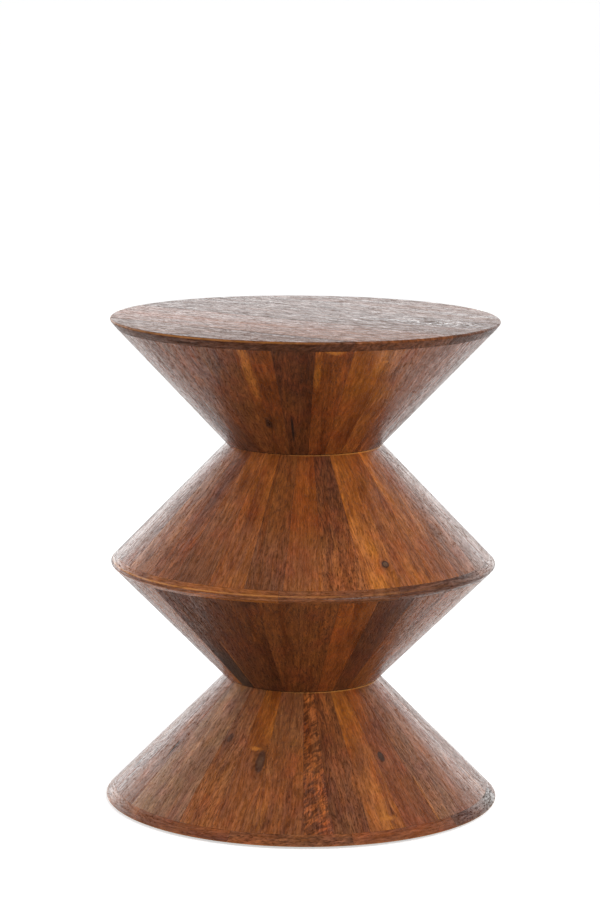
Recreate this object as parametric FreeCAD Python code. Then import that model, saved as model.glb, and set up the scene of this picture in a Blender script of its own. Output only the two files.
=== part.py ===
import FreeCAD
import Part

import math
import os

# Driving dimensions, in millimetres unless the name says degrees.
# The table is a stack of four coopered cones, wide end to wide end and neck to neck.
TOP_DIAMETER = 400.0
BELT_DIAMETER = 393.5
BASE_DIAMETER = 405.0
NECK_DIAMETER = 159.0
BASE_CONE_HEIGHT = 125.0
LOWER_CONE_HEIGHT = 120.5
UPPER_CONE_HEIGHT = 122.5
TOP_CONE_HEIGHT = 129.0

# Staves: mitred boards glued edge to edge, turned outside and left flat inside.
STAVE_THICKNESS = 18.0
STAVES_PER_PANEL = 10
PANELS_PER_CONE = 3
TOP_SEAM_DEGREES = 2.5
UPPER_SEAM_DEGREES = 6.5
LOWER_SEAM_DEGREES = 10.5
BASE_SEAM_DEGREES = -3.0
NARROW_STAVE_SHIFT_DEGREES = 4.0

# Top panel: boards glued edge to edge, their rim in line with the top cone.
TOP_PANEL_THICKNESS = 10.0
TOP_EDGE_LAND = 1.5
TOP_BOARDS = 4
TOP_BOARD_WIDTH = 104.0
TOP_FIRST_SEAM = -80.0
TOP_GRAIN_DEGREES = -36.0

# Segmented rings that cap the wide ends of the other cones.
BELT_RING_ABOVE = 7.5
BELT_RING_BELOW = 4.5
BELT_EDGE_LAND = 3.0
BELT_SEGMENTS = 10
BELT_JOINT_DEGREES = 29.0
BASE_RING_THICKNESS = 9.5
BASE_SEGMENTS = 10
BASE_JOINT_DEGREES = 15.0
RING_LEDGE = 3.0

# Plugs in the narrow ends, and the coach screw that draws two of them together.
PLUG_THICKNESS = 24.0
SCREW_DIAMETER = 8.0
SCREW_BITE = 19.0
SCREW_CLEARANCE = 0.3
SCREW_HEAD_HEIGHT = 5.5
SCREW_HEAD_ACROSS_CORNERS = 15.0

# Felt pads under every second segment of the base ring.
PAD_SIDE = 20.0
PAD_THICKNESS = 3.0

# Heights that follow from the driving dimensions.
BASE_BOTTOM = PAD_THICKNESS
LOWER_NECK = BASE_BOTTOM + BASE_CONE_HEIGHT
BELT = LOWER_NECK + LOWER_CONE_HEIGHT
UPPER_NECK = BELT + UPPER_CONE_HEIGHT
TABLE_TOP = UPPER_NECK + TOP_CONE_HEIGHT

FRONT_DEGREES = -90.0
FULL_TURN = 360.0
HEXAGON = 6
ORIGIN = FreeCAD.Vector(0, 0, 0)
UP = FreeCAD.Vector(0, 0, 1)
RADIAL = FreeCAD.Vector(1, 0, 0)
TANGENT = FreeCAD.Vector(0, 1, 0)


class Cone:
    """The outer line of one coopered cone, and the span of height that its staves fill."""

    def __init__(self, wide_diameter, wide_height, neck_height, stave_end, first_seam):
        self.wide_radius = wide_diameter / 2
        self.wide_height = wide_height
        self.neck_radius = NECK_DIAMETER / 2
        self.neck_height = neck_height
        self.stave_end = stave_end
        self.first_seam = first_seam
        self.slope = (self.wide_radius - self.neck_radius) / (wide_height - neck_height)
        self.level_thickness = STAVE_THICKNESS * math.hypot(1.0, self.slope)
        self.upward = math.copysign(1.0, wide_height - neck_height)

    def outer(self, height):
        return self.neck_radius + self.slope * (height - self.neck_height)

    def inner(self, height):
        return self.outer(height) - self.level_thickness

    def middle(self, height):
        return self.outer(height) - self.level_thickness / 2

    def stave_span(self):
        return min(self.neck_height, self.stave_end), max(self.neck_height, self.stave_end)


TOP_CONE = Cone(
    TOP_DIAMETER, TABLE_TOP - TOP_EDGE_LAND, UPPER_NECK, TABLE_TOP - TOP_PANEL_THICKNESS, TOP_SEAM_DEGREES
)
UPPER_CONE = Cone(
    BELT_DIAMETER, BELT + BELT_EDGE_LAND / 2, UPPER_NECK, BELT + BELT_RING_ABOVE, UPPER_SEAM_DEGREES
)
LOWER_CONE = Cone(
    BELT_DIAMETER, BELT - BELT_EDGE_LAND / 2, LOWER_NECK, BELT - BELT_RING_BELOW, LOWER_SEAM_DEGREES
)
BASE_CONE = Cone(
    BASE_DIAMETER, BASE_BOTTOM, LOWER_NECK, BASE_BOTTOM + BASE_RING_THICKNESS, BASE_SEAM_DEGREES
)


def section_face(points):
    """A flat face in the XZ plane through (radius, height) points."""
    corners = [FreeCAD.Vector(radius, 0, height) for radius, height in points]
    return Part.Face(Part.makePolygon(corners + corners[:1]))


def turned(points):
    """A full solid of revolution of a section."""
    return section_face(points).revolve(ORIGIN, UP, FULL_TURN)


def turned_segment(points, sweep_degrees, inner_low, inner_high):
    """One board of a glued round, centred on +X: turned outside, mitred ends, flat inside.

    inner_low and inner_high are (radius, height) points on the middle of its flat inner face.
    """
    section = section_face(points)
    section.rotate(ORIGIN, UP, -sweep_degrees / 2)
    sector = section.revolve(ORIGIN, UP, sweep_degrees)
    reach = inner_low[0] + inner_high[0]
    waste = section_face([(-reach, inner_low[1]), inner_low, inner_high, (-reach, inner_high[1])])
    waste.translate(TANGENT * -reach)
    return sector.cut(waste.extrude(TANGENT * 2 * reach))


def placed(shape, azimuth):
    """A copy of a shape made on +X, turned to an azimuth that counts from the front."""
    copy = shape.copy()
    copy.rotate(ORIGIN, UP, FRONT_DEGREES + azimuth)
    return copy


def around(shape, count, first_azimuth):
    return [placed(shape, first_azimuth + FULL_TURN * k / count) for k in range(count)]


def stave(cone, sweep_degrees):
    """One tapered stave: a board sawn deeper than its wall, then planed flat inside."""
    low, high = cone.stave_span()
    sawn = math.cos(math.radians(sweep_degrees))
    outline = [
        (cone.inner(low) * sawn, low),
        (cone.outer(low), low),
        (cone.outer(high), high),
        (cone.inner(high) * sawn, high),
    ]
    return turned_segment(outline, sweep_degrees, (cone.inner(low), low), (cone.inner(high), high))


def staves(cone, first_seam_shift=0.0):
    """All the staves of a cone in order. The first seam may be out of step with the rest."""
    count = STAVES_PER_PANEL * PANELS_PER_CONE
    seams = [cone.first_seam + FULL_TURN * k / count for k in range(count)]
    seams[0] += first_seam_shift
    seams.append(seams[0] + FULL_TURN)
    return [placed(stave(cone, right - left), (left + right) / 2) for left, right in zip(seams, seams[1:])]


def panels(cone_staves):
    """The staves in the panels that are glued up before the cone is closed."""
    starts = range(0, len(cone_staves), STAVES_PER_PANEL)
    return [Part.makeCompound(cone_staves[k : k + STAVES_PER_PANEL]) for k in starts]


def top_boards():
    """The boards of the top, from the back right to the front left, cut from one turned panel."""
    under = TABLE_TOP - TOP_PANEL_THICKNESS
    radius = TOP_CONE.wide_radius
    panel = turned(
        [
            (0, under),
            (TOP_CONE.outer(under), under),
            (radius, TOP_CONE.wide_height),
            (radius, TABLE_TOP),
            (0, TABLE_TOP),
        ]
    )
    seams = [TOP_FIRST_SEAM + TOP_BOARD_WIDTH * k for k in range(TOP_BOARDS - 1)]
    edges = [-TOP_DIAMETER] + seams + [TOP_DIAMETER]
    boards = []
    for back, front in zip(edges, edges[1:]):
        corner = FreeCAD.Vector(-TOP_DIAMETER, -front, under)
        strip = Part.makeBox(2 * TOP_DIAMETER, front - back, TOP_PANEL_THICKNESS, corner)
        strip.rotate(ORIGIN, UP, TOP_GRAIN_DEGREES)
        boards.append(panel.common(strip))
    return boards


def ring_segments(outer_line, inner, count, first_joint):
    """A ring of mitred segments, from its outer (radius, height) points, lowest first."""
    low = outer_line[0][1]
    high = outer_line[-1][1]
    sweep = FULL_TURN / count
    sawn = inner * math.cos(math.radians(sweep))
    outline = [(sawn, low)] + outer_line + [(sawn, high)]
    segment = turned_segment(outline, sweep, (inner, low), (inner, high))
    return around(segment, count, first_joint + sweep / 2)


def belt_segments():
    """The belt ring, flush with the cone above and the cone below, with a narrow land at its edge."""
    low = BELT - BELT_RING_BELOW
    high = BELT + BELT_RING_ABOVE
    inner = min(UPPER_CONE.inner(high), LOWER_CONE.inner(low)) - RING_LEDGE
    outer_line = [
        (LOWER_CONE.outer(low), low),
        (LOWER_CONE.wide_radius, LOWER_CONE.wide_height),
        (UPPER_CONE.wide_radius, UPPER_CONE.wide_height),
        (UPPER_CONE.outer(high), high),
    ]
    return ring_segments(outer_line, inner, BELT_SEGMENTS, BELT_JOINT_DEGREES)


def base_ring_inner():
    return BASE_CONE.inner(BASE_CONE.stave_end) - RING_LEDGE


def base_segments():
    """The base ring, flush with the base cone down to its floor edge."""
    outer_line = [
        (BASE_CONE.wide_radius, BASE_CONE.wide_height),
        (BASE_CONE.outer(BASE_CONE.stave_end), BASE_CONE.stave_end),
    ]
    return ring_segments(outer_line, base_ring_inner(), BASE_SEGMENTS, BASE_JOINT_DEGREES)


def felt_pads():
    """Square pads on the underside of every second base segment, on the middle of its width."""
    reach = (base_ring_inner() + BASE_CONE.wide_radius) / 2
    corner = RADIAL * (reach - PAD_SIDE / 2) - TANGENT * (PAD_SIDE / 2)
    pad = Part.makeBox(PAD_SIDE, PAD_SIDE, PAD_THICKNESS, corner)
    sweep = FULL_TURN / BASE_SEGMENTS
    return [placed(pad, BASE_JOINT_DEGREES + sweep * (k + 0.5)) for k in range(0, BASE_SEGMENTS, 2)]


def plug(cone, cone_staves):
    """A thick disc in the narrow end, its edge cut to the flat inner faces of the staves."""
    face = cone.neck_height + cone.upward * PLUG_THICKNESS
    blank = turned(
        [
            (0, cone.neck_height),
            (cone.middle(cone.neck_height), cone.neck_height),
            (cone.middle(face), face),
            (0, face),
        ]
    )
    return blank.cut(cone_staves)


def on_neck(shape, entry_cone):
    """A shape made on the axis over z = 0, set on a neck so that up points into the entry cone."""
    copy = shape.copy()
    if entry_cone.upward < 0:
        copy.rotate(ORIGIN, RADIAL, FULL_TURN / 2)
    copy.translate(UP * entry_cone.neck_height)
    return copy


def coach_screw(entry_cone):
    """A hexagon-headed screw on the axis, through the plug of the entry cone and into the next."""
    shank = Part.makeCylinder(SCREW_DIAMETER / 2, SCREW_BITE + PLUG_THICKNESS, UP * -SCREW_BITE)
    corner = UP * PLUG_THICKNESS + RADIAL * (SCREW_HEAD_ACROSS_CORNERS / 2)
    turns = [FreeCAD.Rotation(UP, FULL_TURN * k / HEXAGON) for k in range(HEXAGON + 1)]
    outline = Part.makePolygon([turn.multVec(corner) for turn in turns])
    head = Part.Face(outline).extrude(UP * SCREW_HEAD_HEIGHT)
    return on_neck(shank.fuse(head).removeSplitter(), entry_cone)


def clearance_hole(entry_cone):
    hole = Part.makeCylinder(SCREW_DIAMETER / 2 + SCREW_CLEARANCE, PLUG_THICKNESS)
    return on_neck(hole, entry_cone)


def numbered(name, shapes):
    """Names for repeated pieces, counted from 1."""
    digits = len(str(len(shapes)))
    return {f"{name}_{k:0{digits}d}": shape for k, shape in enumerate(shapes, 1)}


def table():
    """Every piece of the table by its name."""
    top_staves = staves(TOP_CONE)
    upper_staves = staves(UPPER_CONE)
    lower_staves = staves(LOWER_CONE)
    base_staves = staves(BASE_CONE, NARROW_STAVE_SHIFT_DEGREES)
    upper_screw = coach_screw(TOP_CONE)
    lower_screw = coach_screw(BASE_CONE)
    return {
        **numbered("top_board", top_boards()),
        **numbered("top_cone_staves", panels(top_staves)),
        **numbered("upper_cone_staves", panels(upper_staves)),
        **numbered("belt_ring_segment", belt_segments()),
        **numbered("lower_cone_staves", panels(lower_staves)),
        **numbered("base_cone_staves", panels(base_staves)),
        **numbered("base_ring_segment", base_segments()),
        "top_cone_plug": plug(TOP_CONE, top_staves).cut(clearance_hole(TOP_CONE)),
        "upper_cone_plug": plug(UPPER_CONE, upper_staves).cut(upper_screw),
        "lower_cone_plug": plug(LOWER_CONE, lower_staves).cut(lower_screw),
        "base_cone_plug": plug(BASE_CONE, base_staves).cut(clearance_hole(BASE_CONE)),
        "neck_screws": Part.makeCompound([upper_screw, lower_screw]),
        "felt_pads": Part.makeCompound(felt_pads()),
    }


os.makedirs("parts", exist_ok=True)
for node, piece in table().items():
    piece.exportStep(f"parts/{node}.step")
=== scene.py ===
import math

import bmesh
import bpy
import numpy as np
from mathutils import Matrix, Vector


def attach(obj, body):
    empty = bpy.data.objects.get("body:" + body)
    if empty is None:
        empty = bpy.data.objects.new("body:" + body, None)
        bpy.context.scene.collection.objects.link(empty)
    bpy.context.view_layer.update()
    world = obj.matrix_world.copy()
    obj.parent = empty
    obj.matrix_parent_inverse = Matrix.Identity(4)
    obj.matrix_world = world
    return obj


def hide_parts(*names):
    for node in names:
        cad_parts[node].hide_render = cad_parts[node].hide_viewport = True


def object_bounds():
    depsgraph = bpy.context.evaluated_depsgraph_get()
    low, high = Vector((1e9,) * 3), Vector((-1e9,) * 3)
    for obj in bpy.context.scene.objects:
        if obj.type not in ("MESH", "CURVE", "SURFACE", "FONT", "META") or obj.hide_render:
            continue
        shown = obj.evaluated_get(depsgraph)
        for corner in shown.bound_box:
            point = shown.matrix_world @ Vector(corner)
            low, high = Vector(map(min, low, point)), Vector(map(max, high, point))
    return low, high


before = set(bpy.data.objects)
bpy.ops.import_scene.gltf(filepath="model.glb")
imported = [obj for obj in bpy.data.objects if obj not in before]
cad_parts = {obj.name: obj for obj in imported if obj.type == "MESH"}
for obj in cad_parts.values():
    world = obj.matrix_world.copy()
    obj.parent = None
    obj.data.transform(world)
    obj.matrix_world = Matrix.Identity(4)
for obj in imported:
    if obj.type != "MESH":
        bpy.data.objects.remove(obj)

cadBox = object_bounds()
mm = 0.001
fullTurn = 2 * math.pi
noiseMiddle = 0.5
print("frame:", len(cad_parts), "nodes")


# Stained woods: linear colour, and how open the pores are
stains = {
    "umber": ((0.092, 0.027, 0.0085), 1.15),
    "slate": ((0.050, 0.024, 0.013), 1.9),
    "walnut": ((0.142, 0.043, 0.0115), 1.1),
    "chestnut": ((0.170, 0.046, 0.0110), 0.8),
    "russet": ((0.195, 0.056, 0.0115), 0.8),
    "amber": ((0.230, 0.068, 0.0130), 0.75),
    "honey": ((0.320, 0.099, 0.0150), 0.7),
    # fawn and dun are pale and greyish; on the base's left flank they also paint light and reflection
    "fawn": ((0.270, 0.125, 0.0600), 0.9),
    "dun": ((0.196, 0.084, 0.040), 1.0),
    "hazel": ((0.180, 0.064, 0.023), 0.9),
}
usualWoods = ["umber", "walnut", "walnut", "chestnut", "chestnut", "russet", "russet", "amber", "amber"]


# Node trees are laid out on a desk: short calls that add a node and hand back its output
class Desk:
    def __init__(self, tree):
        self.tree = tree
        tree.nodes.clear()

    def feed(self, socket, value):
        if isinstance(value, bpy.types.NodeSocket):
            self.tree.links.new(value, socket)
        else:
            socket.default_value = value

    def add(self, kind, inputs=None, **settings):
        node = self.tree.nodes.new(kind)
        for key, value in settings.items():
            setattr(node, key, value)
        for key, value in (inputs or {}).items():
            self.feed(node.inputs[key], value)
        return node

    def make(self, kind, inputs=None, **settings):
        return self.add(kind, inputs, **settings).outputs[0]

    def math(self, operation, *values, clamp=False):
        return self.make("ShaderNodeMath", dict(enumerate(values)), operation=operation, use_clamp=clamp)

    def times(self, first, *others):
        for other in others:
            first = self.math("MULTIPLY", first, other)
        return first

    def minus(self, first, second):
        return self.math("SUBTRACT", first, second)

    def size(self, value):  # without its sign
        return self.math("ABSOLUTE", value)

    def ramp(self, value, rate, start, clamp=False):  # start + value * rate
        return self.math("MULTIPLY_ADD", value, rate, start, clamp=clamp)

    def swing(self, noise, amount, base):  # base, moved both ways by a noise about its middle
        return self.ramp(self.minus(noise, noiseMiddle), amount, base)

    def between(self, low, high, share):  # low + (high - low) * share
        return self.ramp(self.minus(high, low), share, low)

    def vector(self, operation, *values):
        return self.make("ShaderNodeVectorMath", dict(enumerate(values)), operation=operation)

    def combine(self, x=0.0, y=0.0, z=0.0):
        return self.make("ShaderNodeCombineXYZ", {"X": x, "Y": y, "Z": z})

    def split(self, vector):
        return self.add("ShaderNodeSeparateXYZ", {0: vector}).outputs

    def distance(self, x, y):
        return self.add("ShaderNodeVectorMath", {0: self.combine(x, y)}, operation="LENGTH").outputs["Value"]

    def step(self, value, start, end):  # 0 before start, 1 past end, smooth in between
        inputs = {"Value": value, "From Min": start, "From Max": end}
        return self.make("ShaderNodeMapRange", inputs, interpolation_type="SMOOTHSTEP")

    def blend(self, share, first, second):
        node = self.add("ShaderNodeMix", data_type="RGBA", clamp_factor=True)
        for index, value in ((0, share), (6, first), (7, second)):
            self.feed(node.inputs[index], (*value, 1.0) if isinstance(value, tuple) else value)
        return node.outputs[2]

    def scaled(self, colour, amount):
        return self.make("ShaderNodeVectorMath", {0: colour, "Scale": amount}, operation="SCALE")

    def noise(self, vector, detail=2.0, roughness=0.5, distortion=0.0):
        inputs = {"Vector": vector, "Scale": 1.0, "Detail": detail, "Roughness": roughness}
        return self.make("ShaderNodeTexNoise", {**inputs, "Distortion": distortion})

    def objectPlace(self):
        return self.add("ShaderNodeTexCoord").outputs["Object"]

    def bump(self, height, strength, depth):
        inputs = {"Height": height, "Strength": strength, "Distance": depth}
        return self.make("ShaderNodeBump", inputs)

    def finishWith(self, shader, output="ShaderNodeOutputMaterial"):
        self.feed(self.add(output).inputs["Surface"], shader)

    def principled(self, inputs):
        self.finishWith(self.make("ShaderNodeBsdfPrincipled", inputs))


def blankMaterial(name, kind=Desk):
    material = bpy.data.materials.new(name)
    material.use_nodes = True
    return material, kind(material.node_tree)


def addToScene(name, data):
    made = bpy.data.objects.new(name, data)
    bpy.context.scene.collection.objects.link(made)
    return made


# How stained wood grows and takes its stain: shared by every board
grainLayers = {  # detail, roughness and distortion of the noise
    "flame": (3.0, 0.6, 1.0),
    "bands": (3.0, 0.55, 0.5),
    "streaks": (2.0, 0.6, 0.0),
    "fibres": (2.0, 0.65, 0.0),
    "pores": (1.0, 0.5, 0.0),
    "ripple": (2.0, 0.6, 0.0),
}
driftLayers = {  # turns per metre, start and texture of what drifts over the seams
    "cloud": ((26, 26, 17), (0, 0, 0), (3.0, 0.55, 0.6)),
    "warmth": ((44, 44, 30), (7, 3, 1), (2.0, 0.5, 0.0)),
}
grainTints = {  # layer, where its tint starts and is full, and the tint
    "flame": [
        ("flame", 0.50, 0.76, (1.44, 1.38, 1.13)),
        ("flame", 0.48, 0.26, (0.65, 0.59, 0.57)),
    ],
    "dense": [
        ("bands", 0.56, 0.26, (0.69, 0.60, 0.56)),
        ("streaks", 0.48, 0.76, (1.26, 1.28, 1.23)),
    ],
    "drift": [
        ("blotch", 0.54, 0.30, (0.82, 0.78, 0.76)),
        ("cloud", 0.50, 0.70, (1.20, 1.16, 1.06)),
        ("cloud", 0.50, 0.32, (0.82, 0.78, 0.78)),
        ("warmth", 0.50, 0.70, (0.97, 1.03, 0.88)),
        ("warmth", 0.50, 0.30, (1.05, 0.90, 1.00)),
    ],
}
masks = {  # where each starts and where it is full
    "bentGrain": (4.5, 0.6),  # in knot sizes
    "openPore": (0.55, 0.68),
    "highStain": (0.2, 0.8),
    "darkerBelowFace": (1.2 * mm, 3.0 * mm),
    "sapSide": (1.3, 0.3),
    "sapEnd": (-0.12, 0.12),
    "sapFlame": (0.25, 0.6),
    "fleck": (1.3, 0.3),
    "paleBar": (0.40, 0.63),
    "knotRing": (-1.0, 0.8),
    "knotHeart": (0.75, 0.45),
    "knot": (1.15, 0.85),
    "knotHalo": (2.4, 1.0),
    "knotSwirl": (2.6, 0.8),
    "crackEnd": (1.0, 0.35),
    "crack": (2.0 * mm, 0.5 * mm),
    "brokenSeam": (0.30, 0.62),
    "brokenWearAndHighlight": (0.30, 0.50),
    "wornAndLitSide": (0.1, 0.9),
}
habit = {
    "seedShift": (0.371, 1.93, 1.0),  # sets every board elsewhere in the noise
    "knotBend": -0.65,
    "wanderRates": (26, 9, 1),
    "blotchRates": (24, 24, 24),
    "blotchNoise": (3.0, 0.6),
    "stainDrift": 0.9,
    "sapWaver": 0.30,
    "fleckStretch": 0.35,
    "fleckWaver": 0.02,
    "fleckRag": 2.0,
    "fleckShare": 0.8,
    "barSlant": 0.8,
    "barRates": (190, 62, 0),
    "barNoise": (3.0, 0.55, 1.0),
    "barTones": (0.64, 1.68),
    "knotRings": 7.5,
    "ringWaver": 5.0,
    "knotRag": 0.7,
    "knotTones": (0.45, 1.1),
    "knotHalo": 0.35,
    "crackWaver": 0.006,
    "seamCore": 0.2,  # share of the width that is fully dark
    "wornAndLitCore": 0.3,
    "shadeLineCore": 0.4,
    "usualPores": 0.9,
}
staveFinish = {
    "rates": {  # noise turns per metre, across and along the grain
        "flame": (62.0, 14.0),
        "bands": (120.0, 7.0),
        "streaks": (320.0, 30.0),
        "fibres": (620.0, 115.0),
        "pores": (800.0, 230.0),
        "ripple": (520.0, 120.0),
    },
    "wander": 0.012,
    "fibreTone": 2.0,
    "cloudy": 0.8,  # how far the stain drifts over the boards
    "sapwood": (0.42, 0.140, 0.022),
    # pale colour of worn arrises, which also paints their highlight
    "wornAndLitColour": (0.62, 0.27, 0.06),
    "darkerBelowFace": (0.66, 0.63, 0.56),
    "knot": (0.040, 0.014, 0.007),
    "knotRim": (0.060, 0.019, 0.007),
    "knotHeart": (0.11, 0.055, 0.030),
    # dark colour of pores and glue lines, also used for the painted shade lines
    "pore": (0.040, 0.013, 0.006),
    "crack": (0.014, 0.006, 0.004),
    "poreDark": 0.45,
    "seam": 0.22,
    "seamWidth": 1.0 * mm,
    "raised": {"streaks": 0.45, "pores": -0.5, "ripple": 0.3},  # relief of open wood, over its fibres
    "sunk": {"crackMask": -1.2, "knotMask": -0.5, "seamMask": -0.4},
    "bump": (0.35, 0.9 * mm),  # strength and depth
    "rough": 0.27,
    "dulled": {"fibres": -0.25, "bands": 0.30, "flame": 0.0, "ripple": 0.3},
    "dullMarks": {"seamMask": 0.1, "crackMask": 0.6},
    "dullPores": 0.45,
    "dullOpen": 0.4,  # open woods are duller
    "swirl": 0.0,  # crossing grain about a knot
    "ior": 1.20,
    "coat": 0.50,  # the lacquer film, smoother than the wood under it
    "coatRough": 0.20,
    "coatIor": 1.33,
    "filmSwing": {"fibres": 4.6, "streaks": 4.6},  # how unevenly the film lies
    "filmLack": 0.8,  # open pores drink it
    "filmWaves": {"streaks": 1.0, "bands": 2.5},
    "filmBump": (0.20, 0.6 * mm),
    "sheen": 0.08,
    "sheenRough": 0.25,
    "arrises": [],  # radius, height, spread and strength of each worn edge with its painted highlight
    "wearAndHighlightLean": 0.0,  # more wear and painted highlight on the right, or on the left if negative
    "paintedShadeLines": [],  # height, spread and strength of each painted shade line
}


# A wood's desk also keeps its finish, its layers and its colour so far
class Wood(Desk):
    def attribute(self, name):
        return self.add("ShaderNodeAttribute", attribute_name=name).outputs["Vector"]

    def parts(self, name):
        return self.split(self.attribute(name))

    def mask(self, value, name):
        return self.step(value, *masks[name])

    def grow(self, name, place, rates, start, texture):  # a new layer of noise
        setattr(self, name, self.noise(self.vector("MULTIPLY_ADD", place, rates, start), *texture))

    def lay(self, share, colour):
        self.colour = self.blend(share, self.colour, colour)

    def tint(self, share, tint):
        self.lay(share, self.vector("MULTIPLY", self.colour, tint))

    def tintLayers(self, tints, *strength):
        for layer, start, full, tint in tints:
            self.tint(self.times(self.step(getattr(self, layer), start, full), *strength), tint)

    def addLayers(self, amounts, start):  # start plus each layer by its amount
        for layer, amount in amounts.items():
            start = self.ramp(getattr(self, layer), amount, start)
        return start

    def swingLayers(self, amounts, start):  # start, moved both ways by each layer
        for layer, amount in amounts.items():
            start = self.swing(getattr(self, layer), amount, start)
        return start


def growGrain(wood):
    wood.across, wood.along, wood.depth = wood.parts("grain")
    wood.side, wood.reach, wood.width = wood.parts("place")
    wood.curl, wood.openness, seed = wood.parts("figure")
    knotX, knotY, knotSize = wood.parts("fromKnot")
    wood.knotDark, wood.knotPale, knotRound = wood.parts("knotLook")
    wood.position = wood.objectPlace()
    wood.shift = wood.scaled(habit["seedShift"], seed)

    # grain lines bend round a knot and wander a little on their way
    wood.knotFar = wood.math("DIVIDE", wood.distance(knotX, wood.times(knotY, knotRound)), knotSize)
    bend = wood.times(knotX, wood.mask(wood.knotFar, "bentGrain"))
    bent = wood.ramp(bend, habit["knotBend"], wood.across)
    slow = wood.vector("MULTIPLY_ADD", wood.attribute("grain"), habit["wanderRates"], wood.shift)
    wood.wander = wood.minus(wood.noise(slow), noiseMiddle)
    lines = wood.combine(wood.ramp(wood.wander, wood.finish["wander"], bent), wood.along, wood.depth)
    for layer, texture in grainLayers.items():
        across, along = wood.finish["rates"][layer]
        wood.grow(layer, lines, (across, along, across), wood.shift, texture)
    for layer, (rates, start, texture) in driftLayers.items():
        wood.grow(layer, wood.position, rates, start, texture)
    wood.grow("blotch", wood.position, habit["blotchRates"], wood.shift, habit["blotchNoise"])
    wood.pores = wood.mask(wood.pores, "openPore")


def stainBoard(wood):  # golden in the flames, darker and redder in the dense bands
    turn = wood.mask(wood.swing(wood.blotch, habit["stainDrift"], wood.reach), "highStain")
    wood.colour = wood.blend(turn, wood.attribute("stainLow"), wood.attribute("stainHigh"))
    wood.tintLayers(grainTints["flame"])
    sapSide, sapHalf, sapShare = wood.parts("sap")
    sapFrom, sapTo = wood.parts("sapSpan")[:2]
    sapEdge = wood.swing(wood.bands, habit["sapWaver"], wood.minus(wood.side, sapSide))
    sapMask = wood.times(
        wood.mask(wood.math("DIVIDE", wood.size(sapEdge), sapHalf), "sapSide"),
        sapShare,
        wood.mask(wood.flame, "sapFlame"),
        wood.mask(wood.minus(wood.reach, sapFrom), "sapEnd"),
        wood.mask(wood.minus(sapTo, wood.reach), "sapEnd"),
    )
    wood.lay(sapMask, wood.finish["sapwood"])
    wood.tintLayers(grainTints["dense"])
    wood.tintLayers(grainTints["drift"], wood.finish["cloudy"])
    # darker more than 1.2 mm under the outer face: the rim of the top boards and the hidden sides
    wood.tint(wood.mask(wood.depth, "darkerBelowFace"), wood.finish["darkerBelowFace"])
    fibreTone = wood.times(wood.openness, wood.finish["fibreTone"])
    wood.colour = wood.scaled(wood.colour, wood.swing(wood.fibres, fibreTone, 1.0))


def addFlecks(wood):  # golden spots where the stain did not take
    fleckX, fleckY, fleckSize = wood.parts("fromFleck")
    stretched = wood.times(fleckX, habit["fleckStretch"])
    fleckFar = wood.distance(stretched, wood.ramp(wood.wander, habit["fleckWaver"], fleckY))
    ragged = wood.swing(wood.fibres, habit["fleckRag"], wood.math("DIVIDE", fleckFar, fleckSize))
    wood.lay(wood.times(wood.mask(ragged, "fleck"), habit["fleckShare"]), wood.finish["sapwood"])


def addCurl(wood):  # bright and dark bars slanting over the grain
    overBar = wood.ramp(wood.across, -habit["barSlant"], wood.along)
    alongBar = wood.ramp(wood.along, habit["barSlant"], wood.across)
    place = wood.combine(overBar, alongBar)
    wood.grow("bars", place, habit["barRates"], wood.shift, habit["barNoise"])
    barTone = wood.between(*habit["barTones"], wood.mask(wood.bars, "paleBar"))
    wood.lay(wood.curl, wood.scaled(wood.colour, barTone))


def addKnots(wood):
    ringTurn = wood.times(wood.knotFar, habit["knotRings"])
    rings = wood.math("SINE", wood.ramp(wood.streaks, habit["ringWaver"], ringTurn))
    ragged = wood.swing(wood.blotch, habit["knotRag"], wood.knotFar)
    knotTone = wood.between(*habit["knotTones"], wood.mask(rings, "knotRing"))
    heart = wood.times(wood.knotPale, wood.mask(ragged, "knotHeart"))
    knotColour = wood.blend(heart, wood.scaled(wood.finish["knot"], knotTone), wood.finish["knotHeart"])
    halo = wood.times(wood.mask(ragged, "knotHalo"), wood.knotDark, habit["knotHalo"])
    wood.lay(halo, wood.finish["knotRim"])
    wood.knotMask = wood.times(wood.mask(ragged, "knot"), wood.knotDark)
    wood.lay(wood.knotMask, knotColour)


def addCracks(wood):
    crackX, crackY, crackHalf = wood.parts("fromCrack")
    taper = wood.mask(wood.math("DIVIDE", wood.size(crackY), crackHalf), "crackEnd")
    gap = wood.size(wood.ramp(wood.wander, habit["crackWaver"], crackX))
    wood.crackMask = wood.times(wood.mask(gap, "crack"), taper)
    wood.lay(wood.crackMask, wood.finish["crack"])


def addSeamsAndPores(wood):  # glue lines, and pores that hold the dark stain
    seamWidth = wood.finish["seamWidth"]
    fromEdge = wood.times(wood.size(wood.minus(0.5, wood.size(wood.side))), wood.width)
    seamLine = wood.step(fromEdge, seamWidth, seamWidth * habit["seamCore"])
    wood.seamMask = wood.times(seamLine, wood.mask(wood.flame, "brokenSeam"))
    wood.lay(wood.times(wood.seamMask, wood.finish["seam"]), wood.finish["pore"])
    wood.lay(wood.times(wood.pores, wood.openness, wood.finish["poreDark"]), wood.finish["pore"])


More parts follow.
